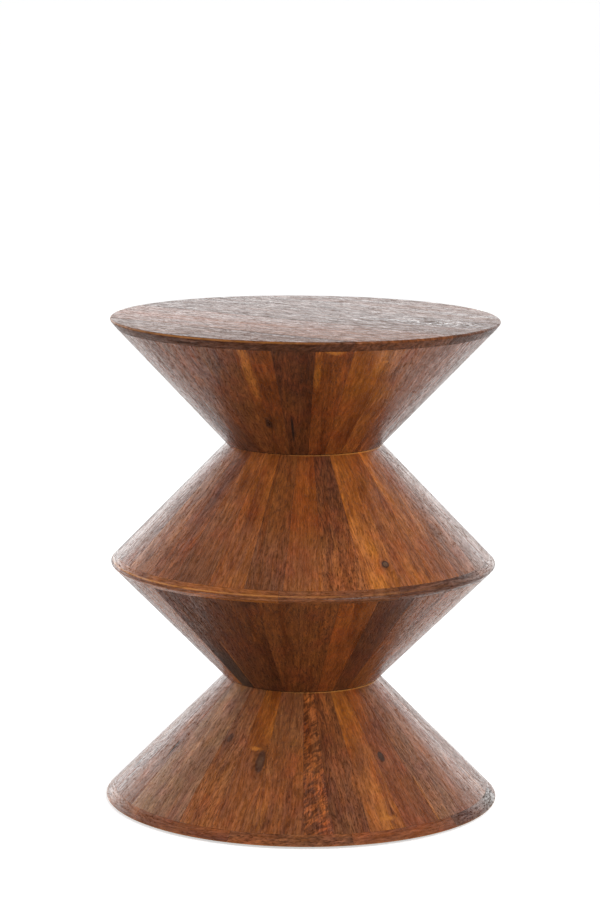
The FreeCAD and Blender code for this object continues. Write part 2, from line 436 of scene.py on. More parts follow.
def addWear(wood):  # stain rubbed thin and a painted highlight on an arris, and a painted shade line under one
    pointX, pointY, pointZ = wood.split(wood.position)
    for radius, height, spread, edgeLineStrength in wood.finish["arrises"]:
        outward = wood.minus(wood.distance(pointX, pointY), radius)
        edgeFar = wood.distance(outward, wood.minus(pointZ, height))
        nearEdge = wood.step(edgeFar, spread, spread * habit["wornAndLitCore"])
        turned = wood.mask(wood.ramp(pointX, wood.finish["wearAndHighlightLean"], 0.5), "wornAndLitSide")
        litAndWorn = wood.times(nearEdge, wood.mask(wood.blotch, "brokenWearAndHighlight"), turned, edgeLineStrength)
        # partly wear, partly a painted highlight: a pale line on the arris, stronger on one side
        wood.lay(litAndWorn, wood.finish["wornAndLitColour"])
    # painted shade: a dark line where shade falls in a neck or under the belt's arris
    for height, spread, strength in wood.finish["paintedShadeLines"]:
        lineFar = wood.size(wood.minus(pointZ, height))
        paintedShadeLines = wood.step(lineFar, spread, spread * habit["shadeLineCore"])
        wood.lay(wood.times(paintedShadeLines, strength), wood.finish["pore"])


def lacqueredWood(name, finish):
    material, wood = blankMaterial(name, Wood)
    wood.finish = finish
    growGrain(wood)
    stainBoard(wood)
    addFlecks(wood)
    addCurl(wood)
    addKnots(wood)
    addCracks(wood)
    addSeamsAndPores(wood)
    addWear(wood)
    relief = wood.times(wood.addLayers(finish["raised"], wood.fibres), wood.openness)
    relief = wood.addLayers(finish["sunk"], relief)
    filmWave = wood.addLayers(finish["filmWaves"], wood.ripple)
    filmLack = wood.times(wood.pores, wood.openness, finish["filmLack"])
    filmLeft = wood.minus(wood.swingLayers(finish["filmSwing"], 1.0), filmLack)
    gloss = wood.swingLayers(finish["dulled"], finish["rough"])
    gloss = wood.addLayers(finish["dullMarks"], gloss)
    gloss = wood.ramp(wood.minus(wood.openness, habit["usualPores"]), finish["dullOpen"], gloss)
    swirl = wood.times(wood.mask(wood.knotFar, "knotSwirl"), finish["swirl"])
    gloss = wood.swing(wood.bars, swirl, gloss)
    inputs = {
        "Base Color": wood.colour,
        "Roughness": wood.ramp(wood.pores, finish["dullPores"], gloss, clamp=True),
        "Normal": wood.bump(relief, *finish["bump"]),
        "IOR": finish["ior"],
        "Coat Normal": wood.bump(filmWave, *finish["filmBump"]),
        "Coat Weight": wood.math("MULTIPLY", filmLeft, finish["coat"], clamp=True),
        "Coat Roughness": finish["coatRough"],
        "Coat IOR": finish["coatIor"],
        "Sheen Weight": finish["sheen"],
        "Sheen Roughness": finish["sheenRough"],
    }
    wood.principled(inputs)
    return material


# Unstained wood of the hidden sides, on the object's own coordinates
bareGrain = {
    "bands": (1.0, 0.06, 1.0),  # turns, as shares of the wood's own rate
    "bandNoise": (4.0, 0.6, 0.8),
    "fibres": (9.0, 0.4, 9.0),
    "fibreNoise": (2.0, 0.6),
    "paleBands": (0.3, 0.7),
    "tone": (0.75, 1.15),
    "rough": (0.62, 0.80),
    "bump": (0.5, 0.4 * mm),
}


def speckle(desk, rates, *texture):
    return desk.noise(desk.vector("MULTIPLY", desk.objectPlace(), rates), *texture)


def bareWood(name, pale, dark, rate):
    material, desk = blankMaterial(name)
    bands = speckle(desk, [rate * share for share in bareGrain["bands"]], *bareGrain["bandNoise"])
    fibres = speckle(desk, [rate * share for share in bareGrain["fibres"]], *bareGrain["fibreNoise"])
    colour = desk.blend(desk.step(bands, *bareGrain["paleBands"]), dark, pale)
    inputs = {
        "Base Color": desk.scaled(colour, desk.between(*bareGrain["tone"], fibres)),
        "Roughness": desk.between(*bareGrain["rough"], bands),
        "Normal": desk.bump(fibres, *bareGrain["bump"]),
    }
    desk.principled(inputs)
    return material


rawStave = bareWood("rawStave", pale=(0.33, 0.20, 0.10), dark=(0.20, 0.11, 0.05), rate=90.0)
print("stains mixed")


# Sizes of the rounds, read from the CAD solids
def cadNodes(prefix):
    return sorted(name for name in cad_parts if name.startswith(prefix))


def cadPoints(prefix):
    return np.array([v.co for name in cadNodes(prefix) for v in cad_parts[name].data.vertices])


def cadLevels(prefix):
    heights = cadPoints(prefix)[:, 2]
    return float(heights.min()), float(heights.max())


sameLevel = 0.1 * mm


def cadRadii(prefix, height):  # farthest and nearest corner from the axis, at one height
    points = cadPoints(prefix)
    level = points[abs(points[:, 2] - height) < sameLevel]
    reach = np.hypot(level[:, 0], level[:, 1])
    return float(reach.max()), float(reach.min())


def coneSlope(prefix):  # how fast a cone widens with height
    low, high = cadLevels(prefix)
    return (cadRadii(prefix, high)[0] - cadRadii(prefix, low)[0]) / (high - low)


def neckArris(prefix, spread, edgeLineStrength):  # the worn edge at the upper end of a cone, with a painted highlight
    high = cadLevels(prefix)[1]
    return (cadRadii(prefix, high)[0], high, spread, edgeLineStrength)


# Geometry Nodes: every point of the input is one board of a glued round, bent to its place
roundSpans = ["Low Height", "High Height", "Low Radius", "Low Slope", "High Radius", "High Slope"]
roundInputs = {
    "NodeSocketFloat": roundSpans + ["Edge Round", "Low Inner", "High Inner", "Grain Around", "Hidden Depth"],
    "NodeSocketInt": ["Columns", "Rows"],
    "NodeSocketMaterial": ["Outer Finish", "Inner Finish"],
}


def blankTree(name, inputs):
    tree = bpy.data.node_groups.new(name, "GeometryNodeTree")
    for kind, labels in {"NodeSocketGeometry": ["Geometry"], **inputs}.items():
        for label in labels:
            tree.interface.new_socket(label, in_out="INPUT", socket_type=kind)
    tree.interface.new_socket("Geometry", in_out="OUTPUT", socket_type="NodeSocketGeometry")
    desk = Desk(tree)
    return tree, desk, desk.add("NodeGroupInput").outputs


def onCircle(desk, radius, angle, height=0.0):  # angles count from the front, towards the right
    x = desk.times(radius, desk.math("SINE", angle))
    y = desk.times(radius, desk.math("COSINE", angle), -1.0)
    return desk.combine(x, y, height)


def gluedRoundTree():
    tree, desk, given = blankTree("gluedRound", roundInputs)

    def named(label, kind="FLOAT"):
        return desk.make("GeometryNodeInputNamedAttribute", {"Name": label}, data_type=kind)

    def store(geometry, label, value):
        inputs = {"Geometry": geometry, "Name": label, "Value": value}
        return desk.make("GeometryNodeStoreNamedAttribute", inputs, data_type="FLOAT_VECTOR")

    grid = {"Vertices X": given["Columns"], "Vertices Y": given["Rows"], "Vertices Z": 2}
    block = desk.make("GeometryNodeMeshCube", grid)
    copies = desk.make("GeometryNodeInstanceOnPoints", {"Points": given["Geometry"], "Instance": block})
    boards = desk.make("GeometryNodeRealizeInstances", {"Geometry": copies})

    # a block's own coordinates: across, up and out, each from 0 to 1
    blockX, blockY, blockZ = desk.split(desk.make("GeometryNodeInputPosition"))
    share, rise, out = [desk.math("ADD", part, 0.5) for part in (blockX, blockY, blockZ)]
    left = desk.between(named("leftLow"), named("leftHigh"), rise)
    right = desk.between(named("rightLow"), named("rightHigh"), rise)
    angle = desk.between(left, right, share)
    sweep = desk.minus(right, left)
    height = desk.between(given["Low Height"], given["High Height"], rise)
    slopes = []
    for end in ("Low", "High"):
        rising = desk.minus(height, given[end + " Height"])
        slopes.append(desk.ramp(rising, given[end + " Slope"], given[end + " Radius"]))
    turned = desk.math("SMOOTH_MIN", *slopes, given["Edge Round"])
    outer = desk.math("ADD", turned, named("lift"))
    flat = desk.between(given["Low Inner"], given["High Inner"], rise)
    inner = desk.math("DIVIDE", flat, desk.math("COSINE", desk.times(sweep, blockX)))
    radius = desk.between(inner, outer, out)
    placed = onCircle(desk, radius, angle, height)

    # grain runs up a stave, or round a ring segment
    span = desk.minus(given["High Height"], given["Low Height"])
    slant = desk.math("SQRT", desk.ramp(given["Low Slope"], given["Low Slope"], 1.0))
    length = desk.times(span, slant)
    width = desk.times(sweep, outer)
    across = desk.times(blockX, width)
    along = desk.times(rise, length)
    depth = desk.minus(outer, radius)
    upGrain = desk.combine(across, along, depth)
    aroundGrain = desk.combine(along, across, depth)
    grainWays = {0: given["Grain Around"], 4: upGrain, 5: aroundGrain}
    grain = desk.add("ShaderNodeMix", grainWays, data_type="VECTOR").outputs[1]
    boards = store(boards, "grain", grain)
    reach = desk.between(rise, share, given["Grain Around"])
    boards = store(boards, "place", desk.combine(blockX, reach, width))
    for spot in ("knot", "crack", "fleck"):
        spotSide, spotRise, spotSize = desk.split(named(spot, "FLOAT_VECTOR"))
        fromX = desk.times(desk.minus(blockX, spotSide), width)
        fromY = desk.times(desk.minus(rise, spotRise), length)
        boards = store(boards, "from" + spot.capitalize(), desk.combine(fromX, fromY, spotSize))
    shaped = desk.make("GeometryNodeSetPosition", {"Geometry": boards, "Position": placed})
    smooth = desk.make("GeometryNodeSetShadeSmooth", {"Geometry": shaped})
    outside = {"Geometry": smooth, "Material": given["Outer Finish"]}
    stained = desk.make("GeometryNodeSetMaterial", outside)
    deepest = {0: desk.split(named("grain", "FLOAT_VECTOR"))[2], 1: given["Hidden Depth"]}
    hidden = desk.make("FunctionNodeCompare", deepest, data_type="FLOAT", operation="GREATER_THAN")
    hidden = desk.make("GeometryNodeFieldOnDomain", {0: hidden}, data_type="BOOLEAN", domain="FACE")
    inside = {"Geometry": stained, "Selection": hidden, "Material": given["Inner Finish"]}
    finished = desk.make("GeometryNodeSetMaterial", inside)
    desk.feed(desk.add("NodeGroupOutput").inputs[0], finished)
    return tree


def keepColumns(mesh, columns):  # one attribute for each column, with a value for every point
    for label, values in columns.items():
        values = np.asarray(values, np.float32)
        kind, field = ("FLOAT_VECTOR", "vector") if values.ndim == 2 else ("FLOAT", "value")
        mesh.attributes.new(label, kind, "POINT").data.foreach_set(field, values.ravel())


def runTree(tree, name, mesh, settings):  # evaluates the tree on a mesh and keeps the plain result
    piece = addToScene(name, mesh)
    modifier = piece.modifiers.new("shape", "NODES")
    modifier.node_group = tree
    sockets = {item.name: item.identifier for item in tree.interface.items_tree if item.in_out == "INPUT"}
    for label, value in settings.items():
        modifier[sockets[label]] = value
    ready = piece.evaluated_get(bpy.context.evaluated_depsgraph_get())
    result = bpy.data.meshes.new_from_object(ready)
    piece.modifiers.remove(modifier)
    piece.data = result
    bpy.data.meshes.remove(mesh)
    return piece


edgeEase = {"segments": 2, "overDegrees": 35}


def easeEdges(piece, width):  # softened arrises catch the light along every seam
    bevel = piece.modifiers.new("ease", "BEVEL")
    bevel.width = width
    bevel.segments = edgeEase["segments"]
    bevel.limit_method = "ANGLE"
    bevel.angle_limit = math.radians(edgeEase["overDegrees"])
    bevel.harden_normals = True


def handOver(piece, nodes):
    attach(piece, "root")
    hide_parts(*nodes)


# Cones of staves and rings of segments, glued up from boards
roundTree = gluedRoundTree()
farSpot = (0.0, -9.0, 1 * mm)  # stands for no knot, crack or fleck
plainKnot = (1.0, 0.0, 0.5)  # darkness, pale heart, roundness
noSap = (0.5, 0.1, 0.0, 0.0, 1.0)  # middle across the board, half width, strength, from and to along it
plainRound = {
    "nudge": 0.0,  # degrees that the first seam stands over
    "edgeRound": 0.0,
    "hiddenDepth": 14 * mm,  # what lies deeper is not stained
    "finish": {},  # what differs from the usual finish
    "sapwood": {},  # by board, counted from the first seam
    "knots": {},  # across the board, along it, and size
    "knotLooks": {},
    "cracks": {},
    "flecks": {},
    "curly": {},
}
byChance = {  # ranges for boards that no dictionary names
    "tone": (0.94, 1.08),
    "openness": (0.85, 1.15),
    "grainSeed": (0, 50),
    "sapSide": (-0.5, 0.5),
    "sapHalf": (0.09, 0.16),
    "sapStrength": (0.0, 0.0, 0.4),
    "sapFrom": (-0.2, 0.4),
    "sapTo": (0.6, 1.2),
    "knotShare": 0.12,
    "knotSpot": [(-0.3, 0.3), (0.2, 0.8), (2.5 * mm, 4.5 * mm)],
}


def boardLooks(piece, rng):  # stain, sapwood, knots and figure of each board in a round
    count = piece["boards"]
    woods = [str(rng.choice(usualWoods)) for _ in range(count)]
    chosen = dict(enumerate(piece["woods"].split(), piece["firstSeen"]))
    for index, word in chosen.items():
        woods[index % count] = word
    low, high = [], []
    for word in woods:
        ends = [np.array(stains[end][0]) for end in (word.split("/") * 2)[:2]]
        ends = [end * tone for end, tone in zip(ends, rng.uniform(*byChance["tone"], 2))]
        low.append(ends[0] if piece["lowFirst"] else ends[1])
        high.append(ends[1] if piece["lowFirst"] else ends[0])
    sap = []
    for _ in range(count):
        side = rng.choice(byChance["sapSide"])
        half = rng.uniform(*byChance["sapHalf"])
        sap.append((side, half, rng.choice(byChance["sapStrength"])))
    sapSpan = []
    for _ in range(count):
        start = rng.uniform(*byChance["sapFrom"])
        sapSpan.append((start, rng.uniform(*byChance["sapTo"]), 0.0))
    figure = []
    for word in woods:
        openness = stains[word.split("/")[0]][1] * rng.uniform(*byChance["openness"])
        figure.append([0.0, openness, rng.uniform(*byChance["grainSeed"])])
    spots = {kind: [farSpot] * count for kind in ("knot", "crack", "fleck")}
    for index in range(count):
        if rng.random() < byChance["knotShare"]:
            spots["knot"][index] = [rng.uniform(*span) for span in byChance["knotSpot"]]
    knotLook = [plainKnot] * count
    for index in chosen:
        board = index % count
        for kind, values in spots.items():
            values[board] = piece[kind + "s"].get(index, farSpot)
        sapLook = piece["sapwood"].get(index, noSap)
        sap[board] = sapLook[:3]
        sapSpan[board] = (*sapLook[3:], 0.0)
        knotLook[board] = piece["knotLooks"].get(index, plainKnot)
        figure[board][0] = piece["curly"].get(index, 0.0)
    looks = {"stainLow": low, "stainHigh": high, "sap": sap, "sapSpan": sapSpan}
    return {**looks, **spots, "knotLook": knotLook, "figure": figure}


def seamAngles(piece, rng):  # seams at the low and high ends, in radians from the front
    count = piece["boards"]
    angles = math.radians(piece["firstSeam"]) + fullTurn * np.arange(count) / count
    angles[0] += math.radians(piece["nudge"])
    spread = math.radians(piece["seamDrift"])
    low = angles + rng.uniform(-spread, spread, count)
    high = angles + rng.uniform(-spread, spread, count)
    return {
        "leftLow": low,
        "leftHigh": high,
        "rightLow": np.append(low[1:], low[0] + fullTurn),
        "rightHigh": np.append(high[1:], high[0] + fullTurn),
    }


def roundSizes(piece):  # the tree's sizes, measured on the CAD solids
    low, high = cadLevels(piece["nodes"])
    lowOuter, lowCorner = cadRadii(piece["nodes"], low)
    highOuter, highCorner = cadRadii(piece["nodes"], high)
    flatShare = math.cos(fullTurn / piece["boards"] / 2)
    return {
        "Low Height": low,
        "High Height": high,
        "Low Radius": lowOuter,
        "Low Slope": coneSlope(piece["lowCone"]),
        "High Radius": highOuter,
        "High Slope": coneSlope(piece["highCone"]),
        "Edge Round": piece["edgeRound"],
        "Low Inner": lowCorner * flatShare,
        "High Inner": highCorner * flatShare,
        "Hidden Depth": piece["hiddenDepth"],
    }


def glueRound(name, piece, wood, groups):  # one piece for each group of CAD nodes
    rng = np.random.default_rng(piece["seed"])
    columns = seamAngles(piece, rng)
    columns["lift"] = -rng.uniform(0.0, piece["unevenness"], piece["boards"])
    columns.update(boardLooks(piece, rng))
    settings = {
        **roundSizes(piece),
        "Grain Around": piece["grainAround"],
        "Columns": piece["columns"],
        "Rows": piece["rows"],
        "Outer Finish": lacqueredWood(wood, {**staveFinish, **piece["finish"]}),
        "Inner Finish": rawStave,
    }
    perGroup = piece["boards"] // len(groups)
    for number, nodes in enumerate(groups):
        label = name if len(groups) == 1 else f"{name}{number + 1}"
        part = slice(number * perGroup, (number + 1) * perGroup)
        mesh = bpy.data.meshes.new(label)
        mesh.from_pydata([(0, 0, 0)] * perGroup, [], [])
        keepColumns(mesh, {column: values[part] for column, values in columns.items()})
        made = runTree(roundTree, label, mesh, settings)
        easeEdges(made, piece["easing"])
        handOver(made, nodes)
    print(name, "made of", piece["boards"], "boards")


plainCone = {
    **plainRound,
    "boards": 30,
    "seamDrift": 0.45,  # degrees
    "unevenness": 0.10 * mm,
    "easing": 0.15 * mm,
    "grainAround": 0.0,
    "columns": 7,
    "rows": 14,
    "firstSeen": -6,
}
neckLine = 1.6 * mm  # spread of worn, highlighted edges and painted shade lines at the necks


def coneOfStaves(name, cone):
    cone = {**plainCone, **cone, "lowCone": cone["nodes"], "highCone": cone["nodes"]}
    glueRound(name, cone, name + "Wood", [[node] for node in cadNodes(cone["nodes"])])


topCone = {
    "nodes": "top_cone_staves",
    "slot": "top_cone_wood",
    "firstSeam": 2.5,  # degrees from the front, towards the right
    "seed": 21,
    "lowFirst": True,  # two woods on a board are named from its neck, which is low here
    "woods": "chestnut walnut umber/chestnut walnut walnut/chestnut umber chestnut "
    "chestnut/amber amber chestnut chestnut walnut",
    "sapwood": {
        -3: (-0.5, 0.10, 0.3, 0.5, 1.0),
        -2: (-0.25, 0.14, 0.55, 0.52, 1.1),
        0: (-0.40, 0.10, 0.6, 0.62, 1.1),
        1: (0.30, 0.16, 0.45, 0.70, 1.0),
    },
    "knots": {-2: (-0.20, 0.30, 3.0 * mm)},
    "cracks": {-1: (-0.20, 0.26, 24 * mm)},
    "flecks": {0: (0.0, 1.0, 3.6 * mm), 1: (0.42, 0.90, 2 * mm)},
    # painted shade line at the neck
    "finish": {"paintedShadeLines": [(cadLevels("top_cone_staves")[0], neckLine, 0.6)]},
}
upperCone = {
    "nodes": "upper_cone_staves",
    "slot": "upper_cone_wood",
    "firstSeam": 6.5,
    "seed": 34,
    "lowFirst": False,
    "woods": "amber chestnut russet/walnut russet walnut chestnut/russet umber/amber "
    "amber/honey russet/amber honey/russet russet walnut",
    "sapwood": {
        -6: (-0.5, 0.15, 0.5, 0.0, 1.0),
        1: (-0.42, 0.12, 0.5, 0.2, 0.7),
        2: (0.0, 0.5, 0.35, -0.2, 0.12),
    },
    "knots": {1: (0.29, 0.17, 3.6 * mm), 4: (-0.04, 0.32, 9.0 * mm)},
    "knotLooks": {1: (1.0, 0.9, 0.95), 4: (0.30, 0.6, 0.7)},
    "finish": {
        # worn neck edge with a painted highlight, stronger on the right
        "arrises": [neckArris("upper_cone_staves", neckLine, 0.45)],
        "wearAndHighlightLean": 6.0,
        "fibreTone": 2.2,
    },
}
lowerCone = {
    "nodes": "lower_cone_staves",
    "slot": "lower_cone_wood",
    "firstSeam": 10.5,
    "seed": 47,
    "lowFirst": True,
    "woods": "amber slate/umber umber umber walnut walnut chestnut umber russet russet amber walnut",
    "sapwood": {-4: (-0.5, 0.12, 0.45, -0.2, 0.5)},
    "finish": {
        "coat": 0.27,
        "sheen": 0.03,
        "fibreTone": 1.5,
        # painted shade line at the neck
        "paintedShadeLines": [(cadLevels("lower_cone_staves")[0], neckLine, 0.7)],
    },
}
baseCone = {
    "nodes": "base_cone_staves",
    "slot": "base_cone_wood",
    "firstSeam": -3.0,
    "nudge": 4.0,  # leaves one narrow stave
    "seamDrift": 0.40,
    "seed": 58,
    "lowFirst": False,
    # the fawn and dun staves on the left flank are paler partly as painted light and reflection
    "woods": "russet fawn dun hazel/amber amber/russet hazel/russet walnut/chestnut "
    "walnut amber chestnut walnut/hazel russet",
    "sapwood": {
        -1: (-0.4, 0.16, 0.35, -0.1, 0.25),
        2: (0.2, 0.35, 0.55, -0.2, 0.30),
        4: (-0.5, 0.12, 0.5, 0.0, 0.5),
    },
    "knots": {-3: (-0.25, 0.63, 3.0 * mm), -2: (0.30, 0.495, 5.2 * mm), 3: (-0.25, 0.50, 3.6 * mm)},
    "knotLooks": {-3: (0.7, 0.0, 0.6), -2: (0.85, 0.5, 0.40), 3: (1.0, 0.3, 0.6)},
    "cracks": {-6: (0.25, 0.45, 14 * mm)},
    "flecks": {-2: (0.0, 0.565, 2.3 * mm), 2: (0.1, 0.08, 3 * mm)},
    "curly": {0: 1.0},
    # worn neck edge with a painted highlight, stronger on the right
    "finish": {"arrises": [neckArris("base_cone_staves", neckLine, 0.45)], "wearAndHighlightLean": 8.0},
}
coneOfStaves("topConeStaves", topCone)
coneOfStaves("upperConeStaves", upperCone)
coneOfStaves("lowerConeStaves", lowerCone)
coneOfStaves("baseConeStaves", baseCone)


# Rings of mitred segments, their grain running round
plainRing = {
    **plainRound,
    "boards": 10,
    "seamDrift": 0.1,
    "unevenness": 0.05 * mm,
    "grainAround": 1.0,
    "columns": 20,
    "lowFirst": True,  # two woods on a segment are named from its left end
}
beltEdge = sum(cadLevels("belt_ring_segment")) / 2 - 1.5 * mm  # where its two slopes meet
beltReach = abs(cadPoints("belt_ring_segment")[:, :2]).max()
beltRing = {
    **plainRing,
    "nodes": "belt_ring_segment",
    "slot": "belt_wood",
    "lowCone": "lower_cone_staves",
    "highCone": "upper_cone_staves",
    "firstSeam": 29.0,
    "easing": 0.25 * mm,
    "rows": 22,
    "edgeRound": 5.0 * mm,
    "seed": 5,
    "firstSeen": -3,
    "woods": "amber amber walnut umber walnut",
    "finish": {
        # worn belt arris with a painted highlight, stronger on the left
        "arrises": [(beltReach - 1.6 * mm, beltEdge + 2.6 * mm, 1.1 * mm, 0.5)],
        "wearAndHighlightLean": -2.0,
        # painted shade line under the belt's arris
        "paintedShadeLines": [(beltEdge + 0.9 * mm, 1.1 * mm, 0.5)],
    },
}
baseReach = cadBox[1][0]  # nothing is wider
baseRing = {
    **plainRing,
    "nodes": "base_ring_segment",
    "slot": "base_ring_wood",
    "lowCone": "base_cone_staves",
    "highCone": "base_cone_staves",
    "firstSeam": 15.0,
    "easing": 0.3 * mm,
    "rows": 8,
    "seed": 6,
    "firstSeen": -2,
    "woods": "chestnut walnut chestnut umber/slate",
    # worn bottom edge with a painted highlight
    "finish": {"arrises": [(baseReach, cadLevels("base_ring_segment")[0], 1.6 * mm, 0.4)]},
}
glueRound("beltRing", beltRing, "beltWood", [cadNodes("belt_ring_segment")])
glueRound("baseRing", baseRing, "baseRingWood", [cadNodes("base_ring_segment")])


# Top boards, cut from one turned panel along the grain
topLevel = cadLevels("top_board")[1]
topReach = cadRadii("top_board", topLevel)[0]
topFinish = {
    **staveFinish,
    "rates": {
        **staveFinish["rates"],
        "flame": (26.0, 3.0),
        "bands": (90.0, 3.0),
        "fibres": (320.0, 52.0),
        "ripple": (280.0, 70.0),
    },
    "wander": 0.006,
    "cloudy": 0.35,
    # colour of the top's worn arris and its painted highlight
    "wornAndLitColour": (0.46, 0.18, 0.036),
    "seam": 0.55,
    "seamWidth": 3.0 * mm,
    "raised": {**staveFinish["raised"], "ripple": 0.15},
    "bump": (0.45, 0.9 * mm),
    "rough": 0.40,
    "dulled": {**staveFinish["dulled"], "bands": 0.25, "flame": 0.25, "ripple": 0.6},
    "dullMarks": {**staveFinish["dullMarks"], "seamMask": 0.32},
    "dullOpen": 0.0,
    "swirl": 1.1,
    "ior": 1.16,
    "coat": 0.22,
    # worn top arris with a painted highlight, stronger on the left
    "arrises": [(topReach, topLevel, 3.2 * mm, 1.0)],
    "wearAndHighlightLean": -5.0,
}
topPanelLook = {
    "boards": 4,
    "boardWidth": 104 * mm,
    "firstSeam": -80 * mm,
    "grainDegrees": -36.0,
    "sides": 288,
    "edgeRound": 1.8 * mm,
    "edgeSteps": 6,
    "cornerOut": 0.2,  # share of the rounding by which the sharp corner would stand out
    "easing": 0.3 * mm,
    "woods": ["umber/walnut", "umber", "chestnut/walnut", "walnut/umber"],
    "blendLength": 1.0,  # over which one wood turns to the other
    "tone": (0.92, 1.1),
    "openness": 1.2,
    "knots": {1: (-18.5 * mm, 140.5 * mm, 14 * mm)},  # across and along its board, and size
    "knotLook": (0.25, 0.0, 0.6),
    "seed": 9,
}


def cornerArc(before, corner, after, radius, steps):  # points of a rounded corner in the section
    before, corner, after = Vector(before), Vector(corner), Vector(after)
    toBefore = (before - corner).normalized()
    toAfter = (after - corner).normalized()
    half = toBefore.angle(toAfter) / 2
    centre = corner + (toBefore + toAfter).normalized() * radius / math.sin(half)
    start = (corner + toBefore * radius / math.tan(half) - centre).normalized()
    end = (corner + toAfter * radius / math.tan(half) - centre).normalized()
    return [centre + start.slerp(end, k / steps) * radius for k in range(steps + 1)]


def solidMesh(name, body):  # the finished solid, with its faces outwards
    bmesh.ops.recalc_face_normals(body, faces=body.faces)
    mesh = bpy.data.meshes.new(name)
    body.to_mesh(mesh)
    body.free()
    return mesh


def topPanel(top):
    low = cadLevels("top_board")[0]
    under = cadRadii("top_board", low)[0]
    sharp = (topReach + top["edgeRound"] * top["cornerOut"], topLevel)
    rim = cornerArc((under, low), sharp, (0.0, topLevel), top["edgeRound"], top["edgeSteps"])
    panel = bmesh.new()
    rings = []
    for radius, height in [(under, low)] + rim:
        ring = []
        for k in range(top["sides"]):
            angle = fullTurn * k / top["sides"]
            ring.append(panel.verts.new((radius * math.cos(angle), radius * math.sin(angle), height)))
        rings.append(ring)
    for lower, upper in zip(rings, rings[1:]):
        for k in range(top["sides"]):
            following = (k + 1) % top["sides"]
            panel.faces.new((lower[k], lower[following], upper[following], upper[k]))
    panel.faces.new(rings[-1])
    panel.faces.new(reversed(rings[0]))
    return panel


def cutAlong(board, across, seam):  # keeps what lies before the seam, and closes the cut
    cut = bmesh.ops.bisect_plane(
        board,
        geom=board.verts[:] + board.edges[:] + board.faces[:],
        plane_co=across * seam,
        plane_no=across,
        clear_outer=True,
    )
    bmesh.ops.edgeloop_fill(board, edges=[e for e in cut["geom_cut"] if isinstance(e, bmesh.types.BMEdge)])


def topBoards(top):
    rng = np.random.default_rng(top["seed"])
    finish = lacqueredWood("topWood", topFinish)
    grainAngle = math.radians(top["grainDegrees"])
    alongWay = Vector((math.cos(grainAngle), math.sin(grainAngle), 0))
    acrossWay = Vector((math.sin(grainAngle), -math.cos(grainAngle), 0))  # to the front left
    for index, node in enumerate(cadNodes("top_board")):
        back = top["firstSeam"] + top["boardWidth"] * (index - 1)
        front = back + top["boardWidth"]
        board = topPanel(top)
        if index > 0:
            cutAlong(board, -acrossWay, -back)
        if index < top["boards"] - 1:
            cutAlong(board, acrossWay, front)
        mesh = solidMesh(f"topBoard{index + 1}", board)
        points = np.array([v.co for v in mesh.vertices])
        across = points @ np.array(acrossWay) - (back + front) / 2
        along = points @ np.array(alongWay)
        every = np.ones(len(points))
        words = top["woods"][index].split("/")
        woods = [np.array(stains[word][0]) * rng.uniform(*top["tone"]) for word in words]
        knotX, knotY, knotSize = top["knots"].get(index, farSpot)
        reach = along / top["blendLength"] + 0.5
        columns = {
            "grain": np.stack([across, along, topLevel - points[:, 2]], 1),
            "place": np.stack([across / top["boardWidth"], reach, every * top["boardWidth"]], 1),
            "figure": np.outer(every, (0.0, top["openness"], rng.uniform(*byChance["grainSeed"]))),
            "sap": np.outer(every, noSap[:3]),
            "sapSpan": np.outer(every, (*noSap[3:], 0.0)),
            "fromKnot": np.stack([across - knotX, along - knotY, every * knotSize], 1),
            "knotLook": np.outer(every, top["knotLook"]),
            "fromCrack": np.outer(every, farSpot),
            "fromFleck": np.outer(every, farSpot),
            "stainLow": np.outer(every, woods[0]),
            "stainHigh": np.outer(every, woods[-1]),
        }
        keepColumns(mesh, columns)
        for polygon in mesh.polygons:
            polygon.use_smooth = True
        mesh.materials.append(finish)
        piece = addToScene(mesh.name, mesh)
        easeEdges(piece, top["easing"])
        handOver(piece, [node])
    print("top made of", top["boards"], "boards")


topBoards(topPanelLook)


# Hidden hardware: plugs and coach screws keep their CAD solids, the pads get soft edges
def speckledFinish(name, look):  # one noise in the colour, one in the surface
    material, desk = blankMaterial(name)
    grit = speckle(desk, *look["grit"])
    inputs = {
        "Base Color": desk.blend(speckle(desk, *look["clumps"]), look["dark"], look["pale"]),
        "Roughness": desk.between(*look["rough"], grit),
        "Normal": desk.bump(grit, *look["bump"]),
        "Metallic": look["metal"],
        "Sheen Weight": look["sheen"],
    }
    desk.principled(inputs)
    return material


screwLook = {
    "grit": ((600, 600, 600), 3.0, 0.6),  # zinc spangles
    "clumps": ((600, 600, 600), 3.0, 0.6),
    "dark": (0.42, 0.40, 0.34),
    "pale": (0.62, 0.60, 0.55),
    "rough": (0.28, 0.50),
    "bump": (0.2, 0.1 * mm),
    "metal": 1.0,
    "sheen": 0.0,
}
copyInputs = {
    "NodeSocketInt": ["Count"],
    "NodeSocketFloat": ["Radius", "First Angle"],
    "NodeSocketMaterial": ["Finish"],
}


def ringOfCopiesTree():
    tree, desk, given = blankTree("ringOfCopies", copyInputs)
    index = desk.make("GeometryNodeInputIndex")
    pitch = desk.math("DIVIDE", fullTurn, given["Count"])
    angle = desk.ramp(index, pitch, given["First Angle"])
    spots = {"Count": given["Count"], "Position": onCircle(desk, given["Radius"], angle)}
    points = desk.make("GeometryNodePoints", spots)
    turned = {"Points": points, "Instance": given["Geometry"], "Rotation": desk.combine(z=angle)}
    copies = desk.make("GeometryNodeInstanceOnPoints", turned)
    plain = desk.make("GeometryNodeRealizeInstances", {"Geometry": copies})
    finished = desk.make("GeometryNodeSetMaterial", {"Geometry": plain, "Material": given["Finish"]})
    desk.feed(desk.add("NodeGroupOutput").inputs[0], finished)
    return tree


